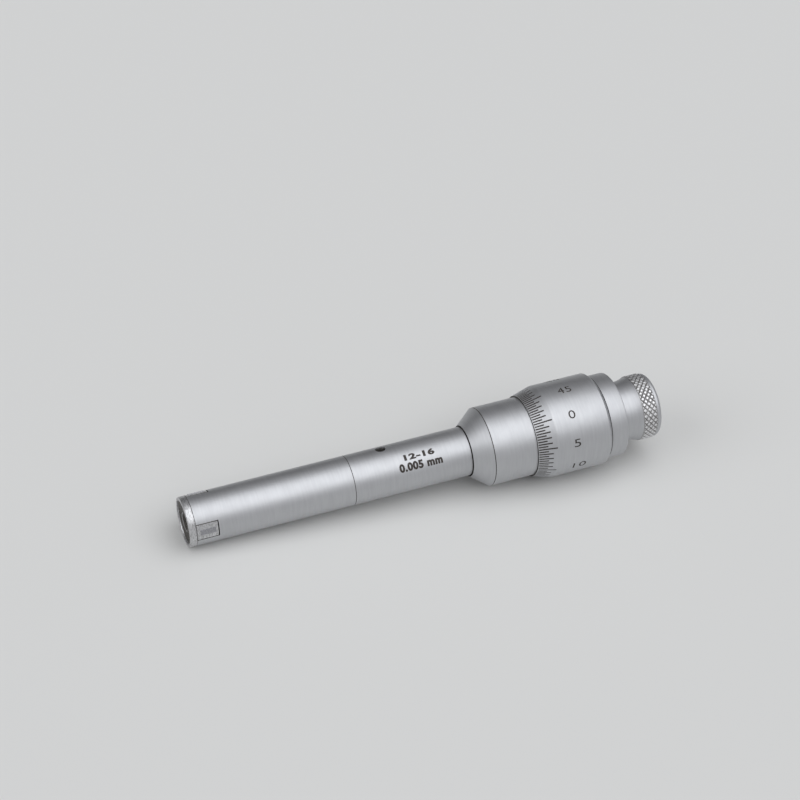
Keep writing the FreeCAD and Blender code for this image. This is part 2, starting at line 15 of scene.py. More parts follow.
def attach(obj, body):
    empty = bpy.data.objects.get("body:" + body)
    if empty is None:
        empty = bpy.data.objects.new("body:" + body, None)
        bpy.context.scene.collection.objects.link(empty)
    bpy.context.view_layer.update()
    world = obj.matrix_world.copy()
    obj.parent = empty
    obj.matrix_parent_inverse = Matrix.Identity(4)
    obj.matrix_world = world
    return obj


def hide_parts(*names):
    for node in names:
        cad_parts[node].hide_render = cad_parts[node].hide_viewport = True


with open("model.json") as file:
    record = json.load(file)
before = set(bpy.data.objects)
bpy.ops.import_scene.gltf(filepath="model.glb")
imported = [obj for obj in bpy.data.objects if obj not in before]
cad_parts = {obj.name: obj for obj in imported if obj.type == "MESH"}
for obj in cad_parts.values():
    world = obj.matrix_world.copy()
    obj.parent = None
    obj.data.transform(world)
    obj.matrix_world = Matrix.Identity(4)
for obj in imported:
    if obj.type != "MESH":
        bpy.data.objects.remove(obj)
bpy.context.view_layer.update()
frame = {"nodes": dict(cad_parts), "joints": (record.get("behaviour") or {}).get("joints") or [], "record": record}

# %% [markdown]

# %% [markdown]
# The instrument lies on its head and its thimble, so its axis rises a little from the head to
# the knob. Turned pieces are far easier to draw straight: here each one is drawn in
# millimetres along X, from the front face of the head, and is laid down as its last step. The
# thimble's joint gives the real axis and one known point on it, the thimble's front edge.

# %% Find the instrument's own axis
MM = 0.001
THIMBLE_FRONT = 82.53
turning = next(joint for joint in frame["joints"] if joint["name"] == "thimble_turn")
axis = -Vector(turning["axis"]).normalized()
tilt = math.atan2(axis.z, axis.x)
front_face = Vector(turning["pos_m"]) - axis * THIMBLE_FRONT * MM
laid = Matrix.LocRotScale(front_face, Euler((0, -tilt, 0)), Vector((MM, MM, MM)))
print("tilt in degrees", round(math.degrees(tilt), 3), "front face", tuple(front_face))


# %% [markdown]
# Angles round the axis are counted from the top, towards the side that the camera sees. One
# small function turns a place, a radius and an angle into a point, and one reads the angle
# back from a point.

# %% Places round the axis
def around(place, radius, angle):
    """The point at a place along the axis, a radius and an angle from the top."""
    turn = math.radians(angle)
    return Vector((place, -radius * math.sin(turn), radius * math.cos(turn)))


def angle_of(point):
    """The angle from the top at which a point lies, from 0 to 360."""
    return math.degrees(math.atan2(-point.y, point.z)) % 360


def radius_of(point):
    return math.hypot(point.y, point.z)


# %% [markdown]
# Operators act on whatever is selected, and in edit mode on the selected vertices, edges or
# faces. These helpers make that certain: the first leaves one object selected, the second
# selects only those parts of its mesh that pass a test of their place or normal.

# %% Select one object, or parts of its mesh
def only(piece):
    """Leaves a piece alone selected and active, in object mode."""
    if bpy.context.mode != "OBJECT":
        bpy.ops.object.mode_set(mode="OBJECT")
    bpy.ops.object.select_all(action="DESELECT")
    piece.select_set(True)
    bpy.context.view_layer.objects.active = piece


def pick(piece, kind, wanted):
    """Selects, in edit mode, only the vertices, edges or faces that pass a test."""
    only(piece)
    mesh = piece.data
    parts = {"VERT": mesh.vertices, "EDGE": mesh.edges, "FACE": mesh.polygons}
    bpy.context.tool_settings.mesh_select_mode = [kind == name for name in parts]
    for group in parts.values():
        for part in group:
            part.select = False
    count = 0
    for part in parts[kind]:
        part.select = bool(wanted(part))
        count += part.select
    bpy.ops.object.mode_set(mode="EDIT")
    return count


# %% [markdown]
# Nearly every piece of this instrument comes off a lathe. In Blender the same is done with
# Spin: one vertex is extruded from point to point round a closed half-section, its corners
# are eased with a vertex bevel, and the line is spun about the axis. The section includes the
# bore, so each piece is a real hollow part with a wall. Spin leaves a seam, which merging by
# distance closes, and the normals are then recalculated so that all of them point outwards.

# %% Turn a piece on the lathe
def turned(name, outline, steps=144, first=0.0):
    """A turned piece from (place, radius) or (place, radius, ease) corners, in millimetres."""
    bpy.ops.object.select_all(action="DESELECT")
    bpy.ops.mesh.primitive_plane_add(size=1, location=(0, 0, 0))
    piece = bpy.context.object
    piece.name = piece.data.name = name
    bpy.ops.object.mode_set(mode="EDIT")
    bpy.ops.mesh.select_mode(type="VERT")
    bpy.ops.mesh.select_all(action="SELECT")
    bpy.ops.mesh.merge(type="CENTER")
    corners = [around(corner[0], corner[1], first) for corner in outline]
    bpy.ops.transform.translate(value=corners[0])
    for here, there in zip(corners, corners[1:] + corners[:1]):
        bpy.ops.mesh.extrude_vertices_move(TRANSFORM_OT_translate={"value": there - here})
    bpy.ops.mesh.select_all(action="SELECT")
    bpy.ops.mesh.remove_doubles(threshold=0.0005)
    eases = sorted({corner[2] for corner in outline if len(corner) > 2}, reverse=True)
    for ease in eases:
        eased = [point for point, corner in zip(corners, outline) if corner[2:] == (ease,)]
        pick(piece, "VERT", lambda vertex: any((vertex.co - at).length < 0.001 for at in eased))
        bpy.ops.mesh.bevel(offset=ease, segments=8 if ease > 0.6 else 3, affect="VERTICES")
    bpy.ops.mesh.select_all(action="SELECT")
    bpy.ops.mesh.remove_doubles(threshold=0.002)
    bpy.ops.mesh.spin(steps=steps, angle=2 * math.pi, center=(0, 0, 0), axis=(1, 0, 0))
    bpy.ops.mesh.select_all(action="SELECT")
    bpy.ops.mesh.remove_doubles(threshold=0.0005)
    bpy.ops.mesh.normals_make_consistent(inside=False)
    bpy.ops.object.mode_set(mode="OBJECT")
    print(name, "turned,", len(piece.data.polygons), "faces")
    return piece


# %% [markdown]
# Holes and seats are drilled as in the workshop: a cylinder stands where the drill goes, and
# a Boolean modifier takes it away from the piece.

# %% Drill a hole
def drill(piece, centre, rotation, radius, depth):
    """Takes a round hole out of a piece. The drill is given by its middle and its rotation."""
    bpy.ops.object.select_all(action="DESELECT")
    bpy.ops.mesh.primitive_cylinder_add(
        vertices=48, radius=radius, depth=depth, location=centre, rotation=rotation)
    take_away(piece, bpy.context.object)


def take_away(piece, cutter):
    only(piece)
    cut = piece.modifiers.new("cut", "BOOLEAN")
    cut.operation = "DIFFERENCE"
    cut.solver = "EXACT"
    cut.object = cutter
    bpy.ops.object.modifier_apply(modifier="cut")
    bpy.data.objects.remove(cutter)


# %% [markdown]
# The finishes are built from nodes. All of them read the same coordinates: Object
# coordinates, brought by a Mapping node of the Texture type into millimetres along the
# instrument's own axis. A second Mapping node stretches a pattern, because a turned surface
# carries its fine lines round the axis.

# %% Start a finish
def start_finish(name, color, roughness, metallic):
    """A material with its even values set on the shader itself."""
    material = bpy.data.materials.new(name)
    material.use_nodes = True
    shader = material.node_tree.nodes["Principled BSDF"]
    shader.inputs["Base Color"].default_value = (*color, 1)
    shader.inputs["Roughness"].default_value = roughness
    shader.inputs["Metallic"].default_value = metallic
    return material


def pattern(material, scale, stretch=(1, 1, 1), detail=3.0):
    """A noise pattern in millimetres along the instrument, as the socket that carries it."""
    nodes = material.node_tree.nodes
    links = material.node_tree.links
    coordinates = nodes.new("ShaderNodeTexCoord")
    straight = nodes.new("ShaderNodeMapping")
    straight.vector_type = "TEXTURE"
    straight.inputs["Location"].default_value = front_face
    straight.inputs["Rotation"].default_value = (0, -tilt, 0)
    straight.inputs["Scale"].default_value = (MM, MM, MM)
    stretched = nodes.new("ShaderNodeMapping")
    stretched.inputs["Scale"].default_value = stretch
    noise = nodes.new("ShaderNodeTexNoise")
    noise.inputs["Scale"].default_value = scale
    noise.inputs["Detail"].default_value = detail
    links.new(coordinates.outputs["Object"], straight.inputs["Vector"])
    links.new(straight.outputs["Vector"], stretched.inputs["Vector"])
    links.new(stretched.outputs["Vector"], noise.inputs["Vector"])
    return noise.outputs[0]


def between(material, source, low, high, socket):
    """Drives a shader value from a pattern: low where it is dark, high where it is light."""
    nodes = material.node_tree.nodes
    links = material.node_tree.links
    reach = nodes.new("ShaderNodeMapRange")
    reach.inputs["From Min"].default_value = 0.3
    reach.inputs["From Max"].default_value = 0.7
    reach.inputs["To Min"].default_value = low
    reach.inputs["To Max"].default_value = high
    links.new(source, reach.inputs["Value"])
    links.new(reach.outputs["Result"], nodes["Principled BSDF"].inputs[socket])


def tinted(material, source, stops):
    """Colours a finish by a pattern, through (position, colour) stops."""
    nodes = material.node_tree.nodes
    links = material.node_tree.links
    ramp = nodes.new("ShaderNodeValToRGB")
    elements = ramp.color_ramp.elements
    while len(elements) < len(stops):
        elements.new(0.5)
    for element, (position, color) in zip(elements, stops):
        element.position = position
        element.color = (*color, 1)
    links.new(source, ramp.inputs["Fac"])
    links.new(ramp.outputs["Color"], nodes["Principled BSDF"].inputs["Base Color"])


def bumped(material, source, depth, strength=0.5):
    """Lets a pattern tilt the surface a little. The depth is in millimetres."""
    nodes = material.node_tree.nodes
    links = material.node_tree.links
    bump = nodes.new("ShaderNodeBump")
    bump.inputs["Distance"].default_value = depth * MM
    bump.inputs["Strength"].default_value = strength
    links.new(source, bump.inputs["Height"])
    links.new(bump.outputs["Normal"], nodes["Principled BSDF"].inputs["Normal"])


# %% [markdown]
# The tubes, the sleeve, the thimble and the knob are satin chrome: light grey metal whose
# reflections are soft. The real plating is laid over a finely turned surface, so faint streaks
# run round it, its gloss wanders a little, and hair-fine lines break up its reflections. Noise
# stretched thin along the axis gives the streaks and the lines.

# %% Satin chrome
satin_chrome = start_finish("satin_chrome", (0.51, 0.515, 0.53), 0.48, 1.0)
streaks = pattern(satin_chrome, 1.0, stretch=(2.4, 0.22, 0.22), detail=5)
tinted(satin_chrome, streaks, [(0.30, (0.49, 0.495, 0.512)), (0.70, (0.53, 0.536, 0.55))])
between(satin_chrome, pattern(satin_chrome, 0.35, detail=4), 0.455, 0.505, "Roughness")
bumped(satin_chrome, pattern(satin_chrome, 1.0, stretch=(14, 0.6, 0.6)), 0.002)

# %% [markdown]
# The front ring, the anvils and the inner shafts are ground and polished steel. It is a
# little smoother than the chrome, and mottled where bores have scuffed it.

# %% Polished steel
polished_steel = start_finish("polished_steel", (0.56, 0.56, 0.57), 0.38, 1.0)
mottle = pattern(polished_steel, 2.6, stretch=(1.6, 0.7, 0.7), detail=6)
tinted(polished_steel, mottle, [
    (0.34, (0.38, 0.38, 0.38)), (0.47, (0.53, 0.53, 0.54)), (0.62, (0.63, 0.63, 0.64))])
between(polished_steel, pattern(polished_steel, 2.5, detail=5), 0.34, 0.46, "Roughness")
bumped(polished_steel, pattern(polished_steel, 2.4, stretch=(2.5, 1, 1), detail=6), 0.006)

# %% [markdown]
# The knob is plated like the rest, but its knurl carries painted shade: darker towards the
# floor of the grooves and lighter on the points. How deep a point of the surface lies is its
# distance from the axis, so the length of the straight coordinates, with the part along the
# axis taken out, tells the painted shade where to fall. The tips are carbide: darker, harder
# and evenly ground.

# %% Bright knurl and carbide
KNURL_FLOOR = 7.68
KNURL_TOP = 7.86
bright_knurl = start_finish("bright_knurl", (0.7, 0.7, 0.71), 0.4, 1.0)
between(bright_knurl, pattern(bright_knurl, 1.2, detail=3), 0.36, 0.46, "Roughness")
knurl_nodes = bright_knurl.node_tree.nodes
knurl_links = bright_knurl.node_tree.links
straight_map = next(
    node for node in knurl_nodes if node.type == "MAPPING" and node.vector_type == "TEXTURE")
sideways = knurl_nodes.new("ShaderNodeVectorMath")
sideways.operation = "MULTIPLY"
sideways.inputs[1].default_value = (0, 1, 1)
distance = knurl_nodes.new("ShaderNodeVectorMath")
distance.operation = "LENGTH"
depth = knurl_nodes.new("ShaderNodeMapRange")
depth.inputs["From Min"].default_value = KNURL_FLOOR
depth.inputs["From Max"].default_value = KNURL_TOP
knurl_links.new(straight_map.outputs["Vector"], sideways.inputs[0])
knurl_links.new(sideways.outputs["Vector"], distance.inputs[0])
knurl_links.new(distance.outputs["Value"], depth.inputs["Value"])
# painted shade: the colour darkens from the points of the diamonds down to the groove floors
tinted(bright_knurl, depth.outputs["Result"], [
    (0.0, (0.22, 0.21, 0.20)), (0.25, (0.50, 0.50, 0.51)), (0.80, (0.78, 0.78, 0.79))])

carbide = start_finish("carbide", (0.36, 0.36, 0.38), 0.28, 1.0)
tinted(carbide, pattern(carbide, 5.0, detail=6), [
    (0.3, (0.27, 0.27, 0.29)), (0.7, (0.42, 0.42, 0.44))])
between(carbide, pattern(carbide, 3.0), 0.22, 0.36, "Roughness")

# %% [markdown]
# The marks are engraved and filled with dark paint, which lies matt and slightly uneven in the
# cut. A second dark finish is painted shade: it goes on the seams between the pieces, on gaps
# and on recesses, and draws a thin dark line at each joint.

# %% Engraver's paint and painted seam shade
engraved_paint = start_finish("engraved_paint", (0.020, 0.015, 0.012), 0.6, 0.0)
tinted(engraved_paint, pattern(engraved_paint, 6.0), [
    (0.3, (0.012, 0.009, 0.008)), (0.7, (0.045, 0.034, 0.027))])
between(engraved_paint, pattern(engraved_paint, 3.0), 0.45, 0.75, "Roughness")

# painted shade for seams, gaps and recesses, laid on as a dark colour
seam_shade = start_finish("seam_shade", (0.03, 0.026, 0.022), 0.5, 0.2)
tinted(seam_shade, pattern(seam_shade, 1.5, detail=5), [
    (0.3, (0.02, 0.017, 0.015)), (0.7, (0.075, 0.068, 0.06))])
between(seam_shade, pattern(seam_shade, 2.0), 0.4, 0.7, "Roughness")

# %% [markdown]
# The small screws and the key are blackened steel, the bush inside is bronze, and the
# springs are drawn wire and strip. Most of these are seen only when the instrument is opened
# up, but each has its own finish all the same.

# %% Blackened steel, bronze and spring steel
black_steel = start_finish("black_steel", (0.08, 0.075, 0.07), 0.42, 0.9)
tinted(black_steel, pattern(black_steel, 3.0, detail=5), [
    (0.3, (0.045, 0.042, 0.04)), (0.7, (0.13, 0.12, 0.11))])
between(black_steel, pattern(black_steel, 2.0), 0.32, 0.52, "Roughness")

bronze = start_finish("bronze", (0.62, 0.44, 0.2), 0.32, 1.0)
tinted(bronze, pattern(bronze, 0.9, detail=5), [
    (0.3, (0.5, 0.33, 0.14)), (0.7, (0.68, 0.49, 0.24))])
between(bronze, pattern(bronze, 1.4), 0.24, 0.42, "Roughness")
bumped(bronze, pattern(bronze, 1.0, stretch=(12, 0.6, 0.6)), 0.0015)

spring_steel = start_finish("spring_steel", (0.4, 0.4, 0.42), 0.3, 1.0)
tinted(spring_steel, pattern(spring_steel, 2.2, detail=5), [
    (0.3, (0.3, 0.3, 0.32)), (0.7, (0.47, 0.47, 0.48))])
between(spring_steel, pattern(spring_steel, 3.0), 0.22, 0.4, "Roughness")

# %% [markdown]
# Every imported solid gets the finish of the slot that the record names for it. The solids
# that are modelled again below are hidden by their new pieces, and the rest keep this.

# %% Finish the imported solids
finishes = {
    "satin_chrome": satin_chrome,
    "polished_steel": polished_steel,
    "carbide": carbide,
    "bronze": bronze,
    "spring_steel": spring_steel,
    "black_steel": black_steel,
}
for entry in frame["record"]["subparts"]:
    solid = frame["nodes"][entry["node"]]
    for slot in solid.material_slots:
        slot.material = finishes[entry["material_slot"]]


# %% Lay a piece in its place
def paint(piece, material, wanted):
    """Gives the faces that pass a test a further material."""
    if material.name not in piece.data.materials:
        piece.data.materials.append(material)
    index = piece.data.materials.find(material.name)
    for face in piece.data.polygons:
        if wanted(face):
            face.material_index = index


def lay_down(piece, body, replaced=(), sharp=35):
    only(piece)
    bpy.ops.object.shade_smooth_by_angle(angle=math.radians(sharp))
    piece.matrix_world = laid
    bpy.ops.object.transform_apply(location=True, rotation=True, scale=True)
    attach(piece, body)
    if replaced:
        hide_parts(*replaced)
    triangles = sum(len(face.vertices) - 2 for face in piece.data.polygons)
    print(piece.name, "laid down,", triangles, "triangles")


# %% [markdown]
# The end cap is a bright ring on the nose of the head. It has an eased rim, a shallow dish
# and a hole in the middle, and three small screws sit in the dish between the windows. The
# floor of the dish, the wall of the centre hole and the seam at the rear are painted dark as
# shade, and the edges of the dish shine as thin crescents. The lathe makes the ring, and the
# drill makes the seats for the screw heads and shanks.

# %% End cap
CAP_REAR = 1.64
HEAD_RADIUS = 5.80
WINDOW_ANGLES = (76.5, 196.5, 316.5)
PILLAR = 60.0
SCREW_CIRCLE = 4.25
end_cap = turned("cap_ring", [
    (CAP_REAR, 5.70), (1.54, HEAD_RADIUS), (0.0, HEAD_RADIUS, 0.24), (0.0, 5.05, 0.08),
    (0.35, 5.05, 0.06), (0.35, 2.10, 0.08), (0.85, 1.60), (CAP_REAR, 1.60),
])
end_cap.data.materials.append(polished_steel)


def in_cap_shade(face):
    """True for the seam at the rear, the floor of the dish and the wall of the centre hole."""
    place, radius = face.center.x, radius_of(face.center)
    seam = 1.54 < place < CAP_REAR and radius > 5.6
    return seam or (place < 0.4 and 2.2 < radius < 4.95) or (place < 1.6 and radius < 2.02)


# painted shade on the rear seam, the floor of the dish and the wall of the centre hole
paint(end_cap, seam_shade, in_cap_shade)
ALONG_AXIS = (0, math.pi / 2, 0)
for angle in WINDOW_ANGLES:
    drill(end_cap, around(0.55, SCREW_CIRCLE, angle + PILLAR), ALONG_AXIS, 0.77, 0.54)
    drill(end_cap, around(1.2, SCREW_CIRCLE, angle + PILLAR), ALONG_AXIS, 0.52, 1.2)
lay_down(end_cap, "frame", ["end_cap"])


# %% [markdown]
# The head is the one piece that isn't only turned: three windows for the anvils are milled
# through its wall, with pockets and grooves behind them. The imported solid already has all of
# that, so a copy is taken. Its loose triangles are merged, flat faces are joined again, and
# the rims of the windows are eased with a small bevel, as a deburring tool leaves them. The
# long faces on the outside then get the exact normals of the round surface they stand for,
# so that they shade evenly. The walls of the windows and of the bore behind them are painted
# dark as shade.

# %% Head
WINDOW_REAR = 6.80
SHARP = 35


def copied(node, name):
    """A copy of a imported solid, with its triangles merged and its flat faces joined again."""
    only(frame["nodes"][node])
    bpy.ops.object.duplicate()
    piece = bpy.context.object
    piece.name = piece.data.name = name
    only(piece)
    bpy.ops.mesh.customdata_custom_splitnormals_clear()
    bpy.ops.object.mode_set(mode="EDIT")
    bpy.ops.mesh.select_all(action="SELECT")
    bpy.ops.mesh.remove_doubles(threshold=0.002 * MM)
    bpy.ops.mesh.dissolve_limited(angle_limit=math.radians(0.4))
    bpy.ops.object.mode_set(mode="OBJECT")
    return piece


head = copied("head_body", "head_shell")
straighten = laid.inverted()
straight_turn = straighten.to_3x3().normalized()
folds = {}
for face in head.data.polygons:
    for pair in face.edge_keys:
        folds.setdefault(pair, []).append(face.normal.copy())


def on_window_rim(edge):
    """True for a sharp edge of a window, on the outside of the head."""
    normals = folds.get(tuple(edge.vertices), [])
    if len(normals) != 2 or normals[0].angle(normals[1]) < math.radians(50):
        return False
    ends = [straighten @ head.data.vertices[index].co for index in edge.vertices]
    return all(CAP_REAR + 0.1 < end.x < WINDOW_REAR + 0.4 and radius_of(end) > HEAD_RADIUS - 0.05
               for end in ends)


def in_window(face):
    """True for the walls of the windows and of the bore behind them."""
    middle = straighten @ face.center
    return CAP_REAR < middle.x < WINDOW_REAR + 0.1 and radius_of(middle) < HEAD_RADIUS - 0.06


rim_edges = pick(head, "EDGE", on_window_rim)
bpy.ops.mesh.bevel(offset=0.03 * MM, segments=2, affect="EDGES")
only(head)
bpy.ops.object.shade_smooth_by_angle(angle=math.radians(SHARP))
normals = [corner.vector.copy() for corner in head.data.corner_normals]
for face in head.data.polygons:
    middle = straighten @ face.center
    outwards = straight_turn @ face.normal
    on_round = radius_of(middle) > HEAD_RADIUS - 0.1
    if on_round and outwards.dot(around(0, 1, angle_of(middle))) > 0.98:
        for corner in face.loop_indices:
            point = straighten @ head.data.vertices[head.data.loops[corner].vertex_index].co
            normals[corner] = straight_turn.inverted() @ around(0, 1, angle_of(point))
head.data.normals_split_custom_set(normals)
for slot in head.material_slots:
    slot.material = satin_chrome
# painted shade on the walls of the windows and of the bore behind them
paint(head, seam_shade, in_window)
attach(head, "frame")
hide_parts("head_body")
print("window rims", rim_edges, "edges eased,", len(head.data.polygons), "faces")

# %% [markdown]
# The three anvils are copied in the same way. Their ground faces and flanks stay bright, and
# the small chamfers between them are painted dark as shade, which draws a thin line round
# each anvil in its window.

# %% Anvils
def on_chamfer(face):
    """True for the small sloping faces round an anvil's ground outer face."""
    middle = straighten @ face.center
    slope = (straight_turn @ face.normal).dot(around(0, 1, angle_of(middle)))
    return 0.5 < slope < 0.96 and radius_of(middle) > HEAD_RADIUS - 0.4


for number in range(1, len(WINDOW_ANGLES) + 1):
    anvil = copied(f"anvil_{number}", f"anvil_shell_{number}")
    bpy.ops.object.shade_smooth_by_angle(angle=math.radians(20))
    for slot in anvil.material_slots:
        slot.material = polished_steel
    # painted shade on the small chamfers round each anvil
    paint(anvil, seam_shade, on_chamfer)
    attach(anvil, f"anvil_set_{number}")
    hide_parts(f"anvil_{number}")
    print(anvil.name, "has", len(anvil.data.polygons), "faces")

# %% [markdown]
# Behind the head a plain tube carries on at the same diameter to the nose cone. It has a
# fine V at the seam with the head, a step down where it goes into the nose, and one hole for
# the screw that holds the head.

# %% Stem tube
HEAD_REAR = 39.07
HEAD_SCREW = (47.62, -20.0)
STEM_STEP = 67.64
stem = turned("stem_tube_shell", [
    (HEAD_REAR, 4.92), (HEAD_REAR, 5.70), (39.17, HEAD_RADIUS), (STEM_STEP, HEAD_RADIUS, 0.08),
    (STEM_STEP, 5.60), (78.89, 5.60), (78.89, 4.60), (50.09, 4.60), (50.09, 4.92),
])
stem.data.materials.append(satin_chrome)


def in_stem_shade(face):
    """True for the V at the seam with the head and for the step into the nose cone."""
    place, radius = face.center.x, radius_of(face.center)
    return (HEAD_REAR < place < 39.17 and radius > 5.6) or (
        place > STEM_STEP - 0.01 and 5.5 < radius < 5.73)


# painted shade in the V at the head and on the step into the nose cone
paint(stem, seam_shade, in_stem_shade)
place, angle = HEAD_SCREW
drill(stem, around(place, 5.5, angle), (math.radians(angle), 0, 0), 1.22, 3.0)
lay_down(stem, "frame", ["stem_tube"])

# %% [markdown]
# The nose cone flares from the tube to the sleeve. Its mouth is chamfered inside and painted
# dark as shade, which with the stepped tube makes the broad dark ring in front of it. Its rear
# edge against the sleeve is painted dark as shade too.

# %% Nose cone
STEM_SHOWN_REAR = 67.79
NOSE_REAR = 71.99
nose = turned("nose_cone_shell", [
    (68.17, 5.62), (STEM_SHOWN_REAR, 6.05), (STEM_SHOWN_REAR, 6.13, 0.03), (71.89, 9.36),
    (NOSE_REAR, 9.26), (NOSE_REAR, 7.02), (70.67, 7.02), (70.67, 5.62),
])
nose.data.materials.append(satin_chrome)
# painted shade on the rear edge against the sleeve and in the mouth
paint(nose, seam_shade, lambda face: face.center.x > 71.89 and radius_of(face.center) > 9.2)
paint(nose, seam_shade, lambda face: face.center.x < 68.2 and radius_of(face.center) < 6.08)
lay_down(nose, "frame", ["nose_cone"])


# %% [markdown]
# The scales are engraved. A turned piece with 400 steps has columns of 0.9 degrees, so a
# mark on it is one or two columns wide, and rings in its outline give the marks their ends.
# The faces of the marks are picked by place and angle, painted and pushed inwards, which
# leaves real cuts with walls and a floor.

# %% Engrave marks
STEPS = 400
STEP = 360 / STEPS
MARK_DEPTH = 0.05


def engrave(piece, depth, wanted):
    """Pushes the faces that pass a test inwards, with the dark paint on them."""
    paint(piece, engraved_paint, wanted)
    count = pick(piece, "FACE", wanted)
    bpy.ops.mesh.extrude_region_shrink_fatten(TRANSFORM_OT_shrink_fatten={"value": -depth})
    bpy.ops.object.mode_set(mode="OBJECT")
    print(piece.name, "has", count, "faces engraved")


# %% [markdown]
# The sleeve stands still, and the thimble's front edge moves over it. Its scale runs along
# one line on the side away from the camera: a mark for each half millimetre of bore from 12
# to 16, the whole ones long. The thimble has advanced furthest where the bore is largest, so
# 16 stands nearest the nose.

# %% Graduated sleeve
SLEEVE_RADIUS = 9.36
INDEX_ANGLE = 211.65
INDEX_LINE = (77.0, 90.0)
FIRST_MARK = 82.28
MARK_HALF = 0.06
LONG_MARK = 12.6
SHORT_MARK = 6.5
sizes = [12 + half / 2 for half in range(9)]
mark_places = {size: FIRST_MARK - (size - 12) for size in sizes}
rings = sorted(place + side for place in mark_places.values() for side in (-MARK_HALF, MARK_HALF))
sleeve = turned("sleeve_shell", [
    (NOSE_REAR, 7.02), (NOSE_REAR, 9.26), (72.09, SLEEVE_RADIUS), (INDEX_LINE[0], SLEEVE_RADIUS),
    *[(place, SLEEVE_RADIUS) for place in rings], (INDEX_LINE[1], SLEEVE_RADIUS),
    (92.4, SLEEVE_RADIUS, 0.15), (92.4, 8.02), (72.29, 8.02), (72.29, 7.02),
], steps=STEPS, first=INDEX_ANGLE - STEP / 2)
sleeve.data.materials.append(satin_chrome)
# painted shade on the front edge against the nose cone
paint(sleeve, seam_shade, lambda face: face.center.x < 72.08 and radius_of(face.center) > 9.2)


def on_sleeve_scale(face):
    """True for the index line and for the marks beside it."""
    on_line = INDEX_LINE[0] < face.center.x < INDEX_LINE[1]
    if radius_of(face.center) < SLEEVE_RADIUS - 0.01 or not on_line:
        return False
    across = (angle_of(face.center) - INDEX_ANGLE + 180) % 360 - 180
    if abs(across) < STEP / 2:
        return True
    for size, place in mark_places.items():
        if abs(face.center.x - place) < MARK_HALF:
            return -LONG_MARK < across < 0 if size == int(size) else -SHORT_MARK < across < 0
    return False


engrave(sleeve, MARK_DEPTH, on_sleeve_scale)
SLEEVE_SCREW = (74.59, 300.0)
place, angle = SLEEVE_SCREW
drill(sleeve, around(place, 9.0, angle), (math.radians(angle), 0, 0), 0.82, 2.6)

# %% [markdown]
# The thimble is the large barrel that the hand turns. Its bevelled front edge carries 100
# marks, two to each number: long at every tenth, middling at the fives between, and short for
# the rest. One full turn is 50 numbers. The bore and the front face are painted dark as shade,
# which draws the line where the thimble stands over the sleeve, and the rear edge is painted
# dark as shade as well.

# %% Thimble
THIMBLE_RADIUS = 11.01
THIMBLE_REAR = 101.15
BEVEL = ((THIMBLE_FRONT, 9.69), (87.17, THIMBLE_RADIUS))
MARK_PITCH = 3.6
PIP = (100.93, 17.0)
SCALE_ZERO = 31.65
MARK_START = 82.66
MARK_ENDS = {"long": 86.85, "middle": 85.86, "short": 84.80}


def on_bevel(place):
    """The corner of the outline at a place on the thimble's bevel."""
    (front, low), (rear, high) = BEVEL
    return (place, low + (high - low) * (place - front) / (rear - front))


thimble = turned("thimble_shell", [
    (THIMBLE_FRONT, 9.42), (THIMBLE_FRONT, 9.69, 0.03), on_bevel(MARK_START),
    *[on_bevel(place) for place in sorted(MARK_ENDS.values())],
    (87.17, THIMBLE_RADIUS, 0.16), (100.32, THIMBLE_RADIUS, 0.14), (101.07, 10.12),
    (THIMBLE_REAR, 10.00), (THIMBLE_REAR, 4.62), (97.15, 5.2126), (97.15, 9.42),
], steps=STEPS, first=SCALE_ZERO)
thimble.data.materials.append(satin_chrome)
# painted shade on the rear edge, and on the bore and the front face
paint(thimble, seam_shade, lambda face: face.center.x > 101.07 and radius_of(face.center) > 9.9)
paint(thimble, seam_shade, lambda face: face.center.x < 97.2 and radius_of(face.center) < 9.70)


def on_thimble_scale(face):
    """True for the faces of the 100 marks."""
    if not MARK_START < face.center.x < MARK_ENDS["long"] or radius_of(face.center) < 9.6:
        return False
    step = (angle_of(face.center) - SCALE_ZERO) % 360 / MARK_PITCH
    mark = round(step)
    if abs(step - mark) * MARK_PITCH > STEP:
        return False
    kind = "long" if mark % 10 == 0 else "middle" if mark % 2 == 0 else "short"
    return face.center.x < MARK_ENDS[kind]


engrave(thimble, MARK_DEPTH, on_thimble_scale)
place, angle = PIP
drill(thimble, around(place, 10.4, angle), (math.radians(angle), 0, 0), 0.22, 1.6)

# %% [markdown]
# The lock ring behind the thimble is a plain turned ring, a little smaller, with an eased
# rear edge that catches the light.

# %% Lock ring
RING_REAR = 105.38
lock_ring = turned("lock_ring_shell", [
    (THIMBLE_REAR, 4.02), (THIMBLE_REAR, 9.90), (101.27, 10.02), (RING_REAR, 10.02, 0.25),
    (RING_REAR, 4.02),
])
lock_ring.data.materials.append(satin_chrome)
# painted shade on the front edge against the thimble
paint(lock_ring, seam_shade, lambda face: face.center.x < 101.28 and radius_of(face.center) > 9.85)
lay_down(lock_ring, "thimble_set", ["lock_ring"])


# %% [markdown]
# The ratchet knob has a plain neck, a concave flare, a band of diamond knurling and a smooth
# rounded rim. The body is turned first, with only as many steps as the knurl has diamonds,
# and with rings through the band that make its faces nearly square. Three grooves inside take
# the lugs of the ratchet's clutch.

